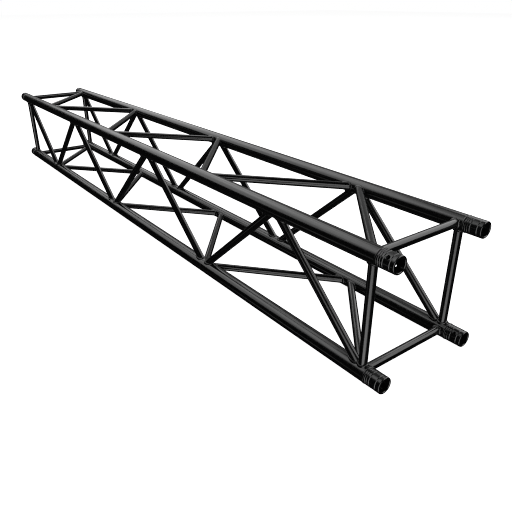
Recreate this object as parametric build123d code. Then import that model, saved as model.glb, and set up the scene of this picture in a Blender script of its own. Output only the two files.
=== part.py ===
from build123d import *
import os
from math import sqrt

# Square box truss section, 3 m long: four chord tubes, a turned socket coupler welded
# into each chord end, a frame of four braces at each end, and a zigzag of diagonals in
# each of the four faces. Millimetres, +X along the section, +Z up, front is -Y.
# The origin is on the ground under the middle of the section.

# Driving dimensions
LENGTH = 3000.0
SPACING = 350.0
CHORD_R = 25.0
CHORD_WALL = 3.0
BRACE_R = 12.5
BRACE_WALL = 2.0

# Bracing: the end frames stand in from the end faces, the two outer bays are shorter
END_FRAME_INSET = 80.0
BAYS = 7
END_BAY = 382.5

# Coupler: depths are measured inwards from its end face
COUPLER_BODY = 57.0
SPIGOT_LENGTH = 20.0
SPIGOT_RECESS = 5.0
SPIGOT_WALL = 6.0
NOSE_ROUND = 3.0
MOUTH_R = 18.75
MOUTH_BEVEL = 1.3
SOCKET_DEPTH = 62.0
SOCKET_END_R = 15.0
PIN_HOLE_DEPTH = 25.0
PIN_OUTER_R = 5.5
PIN_INNER_R = 4.5
PIN_COUNTERSINK = 1.0
DRILL_REACH = 50.0
GROOVE_DEPTH = 1.3
GROOVE_FLOOR = 1 / 3
GROOVES = [(13.0, 4.5), (34.0, 4.0), (42.0, 3.2), (48.0, 3.2)]

# Welds
WELD_LEG = 4.5
WELD_BEVEL = 2.5
WELD_REACH = 75.0

# Places worked out from the sizes above
HALF = LENGTH / 2
FRAME_X = HALF - END_FRAME_INSET
CHORD_END = HALF - COUPLER_BODY
INNER_BAY = (2 * FRAME_X - 2 * END_BAY) / (BAYS - 2)
FIRST_INNER_X = END_BAY - FRAME_X
NODE_X = [-FRAME_X] + [FIRST_INNER_X + bay * INNER_BAY for bay in range(BAYS - 1)] + [FRAME_X]

# Each chord's centreline as (y, z)
LOW, HIGH = CHORD_R, CHORD_R + SPACING
FRONT, REAR = -SPACING / 2, SPACING / 2
CHORDS = {
    "front_bottom": (FRONT, LOW),
    "rear_bottom": (REAR, LOW),
    "front_top": (FRONT, HIGH),
    "rear_top": (REAR, HIGH),
}

# Each face's zigzag touches its first chord at the even nodes and its second at the odd
FACES = {
    "front": ("front_top", "front_bottom"),
    "rear": ("rear_top", "rear_bottom"),
    "top": ("rear_top", "front_top"),
    "bottom": ("rear_bottom", "front_bottom"),
}

SIDES = {"left": -1, "right": 1}
FRAME_BRACES = {"front": "post_front", "rear": "post_rear", "top": "rail_top", "bottom": "rail_bottom"}


def chord_point(chord, x):
    """The point of a chord's centreline at a distance along the section."""
    y, z = CHORDS[chord]
    return Vector(x, y, z)


def bar(start, end, radius):
    """A solid round bar from one centreline point to another."""
    run = end - start
    return Plane(origin=start, z_dir=run) * extrude(Circle(radius), run.length)


def chord_bar(chord, radius, half_length=HALF):
    """A solid round bar along a chord, as long on both sides of the middle."""
    return bar(chord_point(chord, -half_length), chord_point(chord, half_length), radius)


def make_chord(chord):
    """A chord tube, its outer edges bevelled for the coupler welds."""
    tube = chord_bar(chord, CHORD_R, CHORD_END)
    rims = tube.edges().filter_by(GeomType.CIRCLE)
    tube = chamfer(rims, WELD_BEVEL)
    return tube - chord_bar(chord, CHORD_R - CHORD_WALL, CHORD_END)


def coupler_outline():
    """Half section of a coupler as (radius, height), the end face at height 0."""
    points = [(MOUTH_R, 0), (CHORD_R, 0)]
    for depth, width in GROOVES:
        brim, floor = width / 2, width / 2 * GROOVE_FLOOR
        points += [
            (CHORD_R, brim - depth),
            (CHORD_R - GROOVE_DEPTH, floor - depth),
            (CHORD_R - GROOVE_DEPTH, -floor - depth),
            (CHORD_R, -brim - depth),
        ]
    spigot_r = CHORD_R - CHORD_WALL
    spigot_end = -COUPLER_BODY - SPIGOT_LENGTH
    points += [
        (CHORD_R, WELD_BEVEL - COUPLER_BODY),
        (CHORD_R - WELD_BEVEL, -COUPLER_BODY),
        (spigot_r, -COUPLER_BODY),
        (spigot_r, spigot_end),
        (spigot_r - SPIGOT_WALL, spigot_end),
        (spigot_r - SPIGOT_WALL, spigot_end + SPIGOT_RECESS),
        (0, spigot_end + SPIGOT_RECESS),
        (0, -SOCKET_DEPTH),
        (SOCKET_END_R, -SOCKET_DEPTH),
    ]
    return Plane.XZ * make_face(Polyline(points, close=True))


def end_face_rims(blank):
    """The circles round a coupler's end face, the smallest first."""
    return blank.edges().filter_by(GeomType.CIRCLE).group_by(Axis.Z)[-1].sort_by(SortBy.RADIUS)


def make_coupler_blank():
    """A coupler as it comes off the lathe, its end face at the origin facing +Z."""
    blank = revolve(coupler_outline(), Axis.Z)
    blank = fillet(end_face_rims(blank)[-1], NOSE_ROUND)
    return chamfer(end_face_rims(blank)[0], MOUTH_BEVEL)


def outward(chord):
    """The direction straight out of the truss over a chord's corner."""
    y, z = CHORDS[chord]
    return Vector(0, y / abs(y), 1 if z == HIGH else -1) / sqrt(2)


def make_pin_drill():
    """What is drilled out for a pin driven along -Z: a narrow far wall, a wide near one."""
    brink = CHORD_R - PIN_COUNTERSINK
    points = [
        (0, -DRILL_REACH),
        (PIN_INNER_R, -DRILL_REACH),
        (PIN_INNER_R, 0),
        (PIN_OUTER_R, 0),
        (PIN_OUTER_R, brink),
        (PIN_OUTER_R + DRILL_REACH - brink, DRILL_REACH),
        (0, DRILL_REACH),
    ]
    return revolve(Plane.XZ * make_face(Polyline(points, close=True)), Axis.Z)


def make_coupler(blank, drill, chord, side):
    """A coupler in its chord's end, with the pin hole drilled through on the diagonal."""
    end = chord_point(chord, side * HALF)
    pin = chord_point(chord, side * (HALF - PIN_HOLE_DEPTH))
    turned = Plane(origin=end, z_dir=(side, 0, 0)) * blank
    return turned - Plane(origin=pin, z_dir=outward(chord)) * drill


def make_coupler_weld(chord, side):
    """The weld metal that fills the groove between a chord tube and its coupler."""
    root = chord_point(chord, side * CHORD_END)
    groove = [(CHORD_R, WELD_BEVEL), (CHORD_R, -WELD_BEVEL), (CHORD_R - WELD_BEVEL, 0)]
    ring = revolve(Plane.XZ * make_face(Polyline(groove, close=True)), Axis.Z)
    return Plane(origin=root, z_dir=(side, 0, 0)) * ring


def face_braces(face):
    """Every brace of a face, as name: (start chord, start x, end chord, end x)."""
    even, odd = FACES[face]
    braces = {}
    for side, sign in SIDES.items():
        braces[f"{FRAME_BRACES[face]}_{side}"] = (even, sign * FRAME_X, odd, sign * FRAME_X)
    for bay in range(BAYS):
        first, second = (even, odd) if bay % 2 == 0 else (odd, even)
        braces[f"diagonal_{face}_{bay + 1}"] = (first, NODE_X[bay], second, NODE_X[bay + 1])
    return braces


def brace_bar(brace, radius):
    """A solid round bar along a brace, from chord centreline to chord centreline."""
    first, first_x, second, second_x = brace
    return bar(chord_point(first, first_x), chord_point(second, second_x), radius)


def make_brace(name, brace, braces):
    """A brace tube, its ends mouthed to the chords and coped round an end frame brace."""
    tube = brace_bar(brace, BRACE_R) - brace_bar(brace, BRACE_R - BRACE_WALL)
    for chord in (brace[0], brace[2]):
        tube -= chord_bar(chord, CHORD_R)
    if name.startswith("diagonal"):
        for other, place in braces.items():
            if not other.startswith("diagonal") and place[1] in (brace[1], brace[3]):
                tube -= brace_bar(place, BRACE_R)
    return tube


def make_fillet_weld(brace, start):
    """The weld round one end of a brace, hugging the chord tube, not yet cut for braces."""
    first, first_x, second, second_x = brace if start else brace[2:] + brace[:2]
    foot = chord_point(first, first_x)
    along = (chord_point(second, second_x) - foot).normalized() * WELD_REACH
    side = Vector(WELD_REACH, 0, 0)
    hoop = bar(foot - side, foot + side, CHORD_R + WELD_LEG) - bar(foot - side, foot + side, CHORD_R)
    return bar(foot, foot + along, BRACE_R + WELD_LEG) & hoop


def make_face_welds(face):
    """All the brace welds of one face; where two braces share a corner, the welds merge."""
    braces = face_braces(face)
    welds = Part()
    for brace in braces.values():
        for start in (True, False):
            welds += make_fillet_weld(brace, start)
    for brace in braces.values():
        welds -= brace_bar(brace, BRACE_R)
    return welds


os.makedirs("parts", exist_ok=True)

for chord in CHORDS:
    export_step(make_chord(chord), f"parts/chord_{chord}.step")

coupler_blank = make_coupler_blank()
pin_drill = make_pin_drill()
for side, sign in SIDES.items():
    for chord in CHORDS:
        coupler = make_coupler(coupler_blank, pin_drill, chord, sign)
        export_step(coupler, f"parts/coupler_{chord}_{side}.step")
    rings = [make_coupler_weld(chord, sign).solid() for chord in CHORDS]
    export_step(Compound(rings), f"parts/welds_couplers_{side}.step")

for face in FACES:
    braces = face_braces(face)
    for name, brace in braces.items():
        export_step(make_brace(name, brace, braces), f"parts/{name}.step")
    export_step(Compound(make_face_welds(face).solids()), f"parts/welds_{face}.step")
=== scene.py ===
import bpy
import math
import random
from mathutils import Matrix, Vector


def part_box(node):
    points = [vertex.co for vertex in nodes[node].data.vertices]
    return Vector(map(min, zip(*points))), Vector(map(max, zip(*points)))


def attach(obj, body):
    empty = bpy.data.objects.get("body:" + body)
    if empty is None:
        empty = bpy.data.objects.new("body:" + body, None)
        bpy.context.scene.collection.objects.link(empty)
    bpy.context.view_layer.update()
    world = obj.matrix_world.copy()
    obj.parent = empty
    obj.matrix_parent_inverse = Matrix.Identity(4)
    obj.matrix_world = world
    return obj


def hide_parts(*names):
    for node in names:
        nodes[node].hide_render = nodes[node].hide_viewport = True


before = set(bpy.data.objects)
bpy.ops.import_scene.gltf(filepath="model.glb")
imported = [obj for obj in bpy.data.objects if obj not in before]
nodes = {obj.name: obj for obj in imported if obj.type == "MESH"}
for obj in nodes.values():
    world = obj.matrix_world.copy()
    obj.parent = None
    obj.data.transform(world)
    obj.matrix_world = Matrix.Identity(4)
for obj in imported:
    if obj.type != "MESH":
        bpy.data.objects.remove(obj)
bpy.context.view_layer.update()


# The camera stands off the right-hand end, in front of the section and above it, and looks
# back along it: the near couplers are large and the far end runs away to the left. The
# picture is filtered more finely than usual, so that the thin tubes keep crisp edges.
bpy.ops.object.camera_add(
    location=(2.1807, -1.1041, 0.9299),
    rotation=(math.radians(64.346), math.radians(0.05), math.radians(53.081)),
)
camera = bpy.context.object
camera.data.sensor_width = 36.0
camera.data.lens = 37.52
bpy.context.scene.camera = camera
bpy.context.scene.view_settings.view_transform = "Standard"
bpy.context.scene.cycles.filter_width = 1.0


# The floor is plain white studio floor. It glows a little, so it stays even to its edges,
# and gloss doesn't see it, so the black tubes keep their dark undersides.
def add_node(tree, kind, **settings):
    """A new shader node with its settings, or else its input values, filled in by name."""
    made = tree.nodes.new(kind)
    for name, value in settings.items():
        if hasattr(made, name):
            setattr(made, name, value)
        else:
            made.inputs[name.replace("_", " ")].default_value = value
    return made


def new_material(name):
    """A new material, its node tree and its shader."""
    material = bpy.data.materials.new(name)
    material.use_nodes = True
    return material, material.node_tree, material.node_tree.nodes["Principled BSDF"]


floor_width = 80.0
floor_glow = 0.97
bpy.ops.object.select_all(action="DESELECT")
bpy.ops.mesh.primitive_plane_add(size=floor_width)
floor = bpy.context.object
floor.name = "studio_floor"
floor_paint, tree, shader = new_material("floor_paint")
shader.inputs["Roughness"].default_value = 0.9
shader.inputs["Specular IOR Level"].default_value = 0.0
shader.inputs["Emission Color"].default_value = (1, 1, 1, 1)
shader.inputs["Emission Strength"].default_value = floor_glow
mottle = add_node(tree, "ShaderNodeTexNoise", Scale=1.5, Detail=3.0)
paint = add_node(tree, "ShaderNodeMix", data_type="RGBA")
paint.inputs[6].default_value = (0.20, 0.20, 0.20, 1)
paint.inputs[7].default_value = (0.24, 0.24, 0.24, 1)
tree.links.new(add_node(tree, "ShaderNodeTexCoord").outputs["Object"], mottle.inputs["Vector"])
tree.links.new(mottle.outputs["Fac"], paint.inputs[0])
tree.links.new(paint.outputs[2], shader.inputs["Base Color"])
floor.data.materials.append(floor_paint)
floor.visible_glossy = False
floor.visible_shadow = False


# Soft panels light the section from far off: two high on the left, one high behind it, a
# faint wide one between them, two behind the camera and a faint one low on the dark side.
# The studio round them is nearly black, but white to the camera.
panel_distance = 20.0
studio_glow = 0.006


def soft_panel(name, bearing, height, half_width, half_height, brightness):
    """A flat soft light, its place and its half sizes in degrees as seen from the section."""
    turn, lift = math.radians(bearing), math.radians(height)
    away = Vector((math.cos(lift) * math.cos(turn), math.cos(lift) * math.sin(turn), math.sin(lift)))
    bpy.ops.object.light_add(type="AREA", location=away * panel_distance)
    panel = bpy.context.object
    panel.name = name
    panel.rotation_euler = away.to_track_quat("Z", "Y").to_euler()
    panel.data.shape = "RECTANGLE"
    panel.data.size = 2 * panel_distance * math.tan(math.radians(half_width))
    panel.data.size_y = 2 * panel_distance * math.tan(math.radians(half_height))
    panel.data.energy = brightness * math.pi * panel.data.size * panel.data.size_y
    panel.visible_camera = False


soft_panel("panel_left", 190, 40, 35, 20, 1.6)
soft_panel("panel_left_high", 200, 55, 20, 15, 1.0)
soft_panel("panel_rear", 70, 40, 40, 25, 2.5)
soft_panel("panel_above", 130, 35, 50, 30, 0.25)
soft_panel("panel_camera", 315, 0, 25, 40, 2.3)
soft_panel("panel_camera_low", 320, -45, 30, 15, 1.3)
soft_panel("panel_dark_side", 230, -25, 8, 4, 0.4)

world = bpy.data.worlds.new("studio")
bpy.context.scene.world = world
world.use_nodes = True
tree = world.node_tree
dark = tree.nodes["Background"]
dark.inputs["Color"].default_value = (1, 1, 1, 1)
dark.inputs["Strength"].default_value = studio_glow
white = add_node(tree, "ShaderNodeBackground", Color=(1, 1, 1, 1), Strength=1.0)
path = add_node(tree, "ShaderNodeLightPath")
seen = add_node(tree, "ShaderNodeMixShader")
tree.links.new(path.outputs["Is Camera Ray"], seen.inputs["Fac"])
tree.links.new(dark.outputs["Background"], seen.inputs[1])
tree.links.new(white.outputs["Background"], seen.inputs[2])
tree.links.new(seen.outputs["Shader"], tree.nodes["World Output"].inputs["Surface"])


# The four chords are extruded aluminium tube under a satin black powder coat. The die
# leaves faint lines along the tube, and the baked powder has a fine orange peel.
coat_black = (0.0007, 0.0007, 0.00075, 1)
coat_dust = (0.0045, 0.0045, 0.0048, 1)
tube_roughness = 0.20
tube_grain = (0.8, 170.0)
die_line_depth = 0.00006
peels_per_metre = 620.0
peel_depth = 0.000012
clouds_per_metre = 14.0
specks_per_metre = 1900.0
gloss_spread = 0.15


def powder_coat(name, along, grain, depth, roughness):
    """Black powder over metal with a grain: per metre along and across it, and its depth."""
    material, tree, shader = new_material(name)
    link = tree.links.new
    place = add_node(tree, "ShaderNodeTexCoord")
    turned = Vector((1, 0, 0)).rotation_difference(Vector(along)).to_euler()
    stretch = (1 / grain[0], 1 / grain[1], 1 / grain[1])
    lie = add_node(tree, "ShaderNodeMapping", vector_type="TEXTURE", Rotation=turned, Scale=stretch)
    metal = add_node(tree, "ShaderNodeTexNoise", Scale=1.0, Detail=3.0, Roughness=0.55)
    peel = add_node(tree, "ShaderNodeTexNoise", Scale=peels_per_metre, Detail=2.0)
    cloud = add_node(tree, "ShaderNodeTexNoise", Scale=clouds_per_metre, Detail=4.0, Roughness=0.6)
    speck = add_node(tree, "ShaderNodeTexNoise", Scale=specks_per_metre, Detail=1.0)
    link(place.outputs["Object"], lie.inputs["Vector"])
    link(lie.outputs["Vector"], metal.inputs["Vector"])
    for pattern in (peel, cloud, speck):
        link(place.outputs["Object"], pattern.inputs["Vector"])
    dusty = add_node(tree, "ShaderNodeMapRange", From_Min=0.60, From_Max=0.76)
    colour = add_node(tree, "ShaderNodeMix", data_type="RGBA")
    colour.inputs[6].default_value = coat_black
    colour.inputs[7].default_value = coat_dust
    link(speck.outputs["Fac"], dusty.inputs["Value"])
    link(dusty.outputs["Result"], colour.inputs[0])
    link(colour.outputs[2], shader.inputs["Base Color"])
    gloss = add_node(tree, "ShaderNodeMapRange", From_Min=0.3, From_Max=0.7,
                     To_Min=roughness * (1 - gloss_spread), To_Max=roughness * (1 + gloss_spread))
    link(cloud.outputs["Fac"], gloss.inputs["Value"])
    link(gloss.outputs["Result"], shader.inputs["Roughness"])
    under = add_node(tree, "ShaderNodeBump", Strength=1.0, Distance=depth)
    skin = add_node(tree, "ShaderNodeBump", Strength=1.0, Distance=peel_depth)
    link(metal.outputs["Fac"], under.inputs["Height"])
    link(peel.outputs["Fac"], skin.inputs["Height"])
    link(under.outputs["Normal"], skin.inputs["Normal"])
    link(skin.outputs["Normal"], shader.inputs["Normal"])
    return material


def coat_nodes(names, material):
    """Gives CAD nodes a material in place of the plain one that they came with."""
    for name in names:
        nodes[name].data.materials.clear()
        nodes[name].data.materials.append(material)


chords = ["front_bottom", "rear_bottom", "front_top", "rear_top"]
chord_coat = powder_coat("chord_coat", (1, 0, 0), tube_grain, die_line_depth, tube_roughness)
coat_nodes([f"chord_{chord}" for chord in chords], chord_coat)


# A coupler is turned from aluminium bar and welded into each chord end: ring grooves, a
# rounded nose, a tapered socket and a pin hole. Fine turning marks show under the powder.
turned_grain = (900.0, 5.0)
turned_depth = 0.000008
turned_roughness = 0.19
coupler_coat = powder_coat("coupler_coat", (1, 0, 0), turned_grain, turned_depth, turned_roughness)
couplers = [f"coupler_{chord}_{side}" for chord in chords for side in ("left", "right")]
coat_nodes(couplers, coupler_coat)


# An end frame of two posts and two rails stands square to the chords near each end. They
# are thinner drawn tube, saddled to the chords, and their die lines run along them.
frame_braces = {"front": "post_front", "rear": "post_rear", "top": "rail_top", "bottom": "rail_bottom"}
post_coat = powder_coat("post_coat", (0, 0, 1), tube_grain, die_line_depth, tube_roughness)
rail_coat = powder_coat("rail_coat", (0, 1, 0), tube_grain, die_line_depth, tube_roughness)
for brace in frame_braces.values():
    coat_nodes([f"{brace}_left", f"{brace}_right"], post_coat if "post" in brace else rail_coat)


# Seven diagonals zigzag along each face, from one of its chords to the other. Each face's
# zigzag starts on its first chord here and touches that chord at every second foot.
faces = {
    "front": ("front_top", "front_bottom"),
    "rear": ("rear_top", "rear_bottom"),
    "top": ("rear_top", "front_top"),
    "bottom": ("rear_bottom", "front_bottom"),
}
bays = 7
middle_bay = 4


def middle(node):
    """The middle of a CAD node's box."""
    low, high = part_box(node)
    return (Vector(low) + Vector(high)) / 2


def foot_at(chord, x):
    """The point on a chord's centreline at a distance along the section."""
    centre = middle(f"chord_{chord}")
    return Vector((x, centre.y, centre.z))


bay_middle = middle(f"diagonal_front_{middle_bay}").x
bay_length = bay_middle - middle(f"diagonal_front_{middle_bay - 1}").x
foot_x = [bay_middle + bay_length * (step - bays / 2) for step in range(bays + 1)]
foot_x[0] = middle("post_front_left").x
foot_x[-1] = middle("post_front_right").x


def braces_of(face):
    """Every brace of a face, as its name and the two centreline points it runs between."""
    first, second = faces[face]
    braces = {}
    for side, x in (("left", foot_x[0]), ("right", foot_x[-1])):
        braces[f"{frame_braces[face]}_{side}"] = (foot_at(first, x), foot_at(second, x))
    for bay in range(bays):
        start, end = (first, second) if bay % 2 == 0 else (second, first)
        braces[f"diagonal_{face}_{bay + 1}"] = (foot_at(start, foot_x[bay]), foot_at(end, foot_x[bay + 1]))
    return braces


diagonal_coats = {}
for face in faces:
    for name, (start, end) in braces_of(face).items():
        if not name.startswith("diagonal"):
            continue
        slope = (end - start).normalized().to_tuple(4)
        if slope not in diagonal_coats:
            coat_name = f"diagonal_coat_{len(diagonal_coats) + 1}"
            coat = powder_coat(coat_name, slope, tube_grain, die_line_depth, tube_roughness)
            diagonal_coats[slope] = coat
        coat_nodes([name], diagonal_coats[slope])


# A TIG bead joins each coupler to its chord, laid in the groove between their bevelled
# edges and left as welded, so its ripples stand a little proud of the tube.
ripple_pitch = 0.0022
ripple_height = 0.00035
ripple_bow = 0.45
ripple_bluntness = 0.7
steps_per_ripple = 6
stop_height = 0.0004
sunk = 0.0003
weld_grain = (260.0, 260.0)
weld_grain_depth = 0.00003
weld_roughness = 0.21
weld_coat = powder_coat("weld_coat", (1, 0, 0), weld_grain, weld_grain_depth, weld_roughness)
hand = random.Random(12)


def ripple(distance, across):
    """How high a bead's ripples stand, 0 to 1, at a distance along it and -1 to 1 across it."""
    bowed = distance / ripple_pitch - ripple_bow * across * across
    return abs(math.sin(math.pi * bowed)) ** ripple_bluntness


def weld_piece(beads, name, cad_node):
    """Closes rings of bead sections into one smooth piece that stands for a CAD node."""
    points, quads = [], []
    for sections in beads:
        first, count = len(points), len(sections[0])
        for step, section in enumerate(sections):
            ahead = (step + 1) % len(sections)
            for spot in range(count):
                beside = (spot + 1) % count
                corners = ((step, spot), (step, beside), (ahead, beside), (ahead, spot))
                quads.append([first + row * count + place for row, place in corners])
            points += section
    mesh = bpy.data.meshes.new(name)
    mesh.from_pydata(points, [], quads)
    piece = bpy.data.objects.new(name, mesh)
    bpy.context.collection.objects.link(piece)
    bpy.ops.object.select_all(action="DESELECT")
    piece.select_set(True)
    bpy.context.view_layer.objects.active = piece
    bpy.ops.object.mode_set(mode="EDIT")
    bpy.ops.mesh.select_all(action="SELECT")
    bpy.ops.mesh.normals_make_consistent(inside=False)
    bpy.ops.object.mode_set(mode="OBJECT")
    bpy.ops.object.shade_smooth()
    piece.data.materials.append(weld_coat)
    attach(piece, "root")
    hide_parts(cad_node)


chord_low, chord_high = (Vector(corner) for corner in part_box("chord_front_top"))
chord_radius = (chord_high.z - chord_low.z) / 2
seam_half_width = 0.0042
seam_crown = 0.0008
seam_bluntness = 0.8
seam_wander = 0.00025
seam_stop_turn = math.pi
seam_stop_width = 0.12
groove_depth = 0.0024
groove_half_width = 0.0024
crown_points = 8
groove_points = 5


def seam_section(spot):
    """One point of the bead's section round the chord, as (along the chord, over the tube)."""
    if spot < crown_points:
        across = 2 * spot / (crown_points - 1) - 1
        return across * seam_half_width, across
    across = 1 - 2 * (spot - crown_points) / (groove_points - 1)
    return across * groove_half_width, None


def lay_coupler_bead(chord, side):
    """Sections of the rippled ring bead over the groove between a chord and a coupler."""
    centre = foot_at(chord, chord_low.x if side == "left" else chord_high.x)
    length = 2 * math.pi * chord_radius
    steps = steps_per_ripple * round(length / ripple_pitch)
    begin = hand.uniform(0, 2 * math.pi)
    sections = []
    for step in range(steps):
        turn = 2 * math.pi * step / steps
        outward = Vector((0, math.cos(turn + begin), math.sin(turn + begin)))
        stop = math.exp(-((turn - seam_stop_turn) / seam_stop_width) ** 2)
        section = []
        for spot in range(crown_points + groove_points):
            shift, across = seam_section(spot)
            if across is None:
                over = -sunk - groove_depth * (1 - abs(shift) / groove_half_width)
            else:
                rise = math.cos(across * math.pi / 2) ** seam_bluntness if abs(across) < 1 else 0
                proud = seam_crown + ripple_height * ripple(length * step / steps, across)
                over = rise * (proud + stop_height * stop) - sunk
                shift += seam_wander * math.sin(3 * turn + begin)
            section.append(centre + outward * (chord_radius + over) + Vector((shift, 0, 0)))
        sections.append(section)
    return sections


for side in ("left", "right"):
    rings = [lay_coupler_bead(chord, side) for chord in chords]
    weld_piece(rings, f"weld_beads_couplers_{side}", f"welds_couplers_{side}")


# A fillet bead runs right round both ends of every brace, in the corner between the brace
# and the chord. Each is laid by hand, so its ripples, width and stopping place vary.
brace_low, brace_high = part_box("post_front_left")
brace_radius = (brace_high[0] - brace_low[0]) / 2
fillet_leg = 0.0045
leg_swing = 0.05
leg_flutter = 0.04
fillet_bow = 0.1845
fillet_bluntness = 0.7
fillet_stop_turn = 1.5
fillet_stop_width = 0.09
root_share = 0.35
root_depth = 0.0007
face_points = 7
root_points = 3
seam_samples = 360


def out_of_tube(point, start, along, radius):
    """A point moved out of a tube's inside to just under its surface."""
    offset = point - start
    offset -= along * offset.dot(along)
    if offset.length < radius - sunk:
        point = point + offset.normalized() * (radius - sunk - offset.length)
    return point


def onto_tube(point, start, along, radius):
    """A point moved to just under a tube's surface."""
    offset = point - start
    offset -= along * offset.dot(along)
    return point + offset.normalized() * (radius - sunk - offset.length)


def brace_seam(foot, along):
    """Points where a brace's surface meets its chord's, evenly spaced, and their total length."""
    level = Vector((0, -along.z, along.y)).normalized()
    upper = level.cross(along)
    seam = []
    for sample in range(seam_samples):
        turn = 2 * math.pi * sample / seam_samples
        ring = (upper * math.cos(turn) + level * math.sin(turn)) * brace_radius
        # The chord runs along X, so only y and z count in the distance from its centreline
        a = along.y ** 2 + along.z ** 2
        b = ring.y * along.y + ring.z * along.z
        c = ring.y ** 2 + ring.z ** 2 - chord_radius ** 2
        seam.append(foot + ring + along * ((math.sqrt(b * b - a * c) - b) / a))
    travelled = [0.0]
    for here, there in zip(seam, seam[1:] + seam[:1]):
        travelled.append(travelled[-1] + (there - here).length)
    length = travelled[-1]
    steps = steps_per_ripple * round(length / ripple_pitch)
    even, sample = [], 0
    for step in range(steps):
        wanted = length * step / steps
        while travelled[sample + 1] < wanted:
            sample += 1
        part = (wanted - travelled[sample]) / (travelled[sample + 1] - travelled[sample])
        even.append(seam[sample].lerp(seam[(sample + 1) % seam_samples], part))
    return even, length


def lay_brace_bead(foot, along, neighbours):
    """Sections of the rippled fillet bead round the brace that leaves a chord at this foot."""
    seam, length = brace_seam(foot, along)
    steps = len(seam)
    begin = hand.uniform(0, 2 * math.pi)
    chord_along = Vector((1, 0, 0))
    sections = []
    for step, point in enumerate(seam):
        ahead = (seam[(step + 1) % steps] - seam[step - 1]).normalized()
        chord_out = point - foot
        chord_out.x = 0
        chord_out.normalize()
        brace_out = point - foot
        brace_out -= along * brace_out.dot(along)
        brace_out.normalize()
        over_chord = chord_out.cross(ahead)
        over_chord *= 1 if over_chord.dot(brace_out) > 0 else -1
        up_brace = brace_out.cross(ahead)
        up_brace *= 1 if up_brace.dot(chord_out) > 0 else -1
        turn = 2 * math.pi * step / steps
        uneven = leg_swing * math.sin(2 * turn + begin) + leg_flutter * math.sin(5 * turn - begin)
        leg = fillet_leg * (1 + uneven)
        toe = onto_tube(point + over_chord * leg, foot, chord_along, chord_radius) - point
        top = onto_tube(point + up_brace * leg, foot, along, brace_radius) - point
        out = (chord_out + brace_out).normalized()
        stop = math.exp(-((turn - begin / 2 - fillet_stop_turn) / fillet_stop_width) ** 2)
        section = []
        for spot in range(face_points + root_points):
            if spot < face_points:
                part = spot / (face_points - 1)
                bow = fillet_bow * math.sin(math.pi * part)
                share_toe, share_top = 1 - part + bow, part + bow
                proud = ripple_height * ripple(length * step / steps, 2 * part - 1) + stop_height * stop
                inside = 0 < spot < face_points - 1
                proud *= math.sin(math.pi * part) ** fillet_bluntness if inside else 0
                place = point + toe * share_toe + top * share_top + out * proud
                for start, axis in neighbours:
                    place = out_of_tube(place, start, axis, brace_radius)
            else:
                part = (spot - face_points + 1) / (root_points + 1)
                inner = top * (1 - part) + toe * part
                place = point + inner * root_share - out * root_depth
            section.append(place)
        sections.append(section)
    return sections


for face in faces:
    beads = []
    braces = braces_of(face)
    for name, ends in braces.items():
        for foot, far in (ends, ends[::-1]):
            along = (far - foot).normalized()
            neighbours = []
            for other, places in braces.items():
                for start, end in (places, places[::-1]):
                    if other != name and (start - foot).length < brace_radius:
                        neighbours.append((start, (end - start).normalized()))
            beads.append(lay_brace_bead(foot, along, neighbours))
    weld_piece(beads, f"weld_beads_{face}", f"welds_{face}")
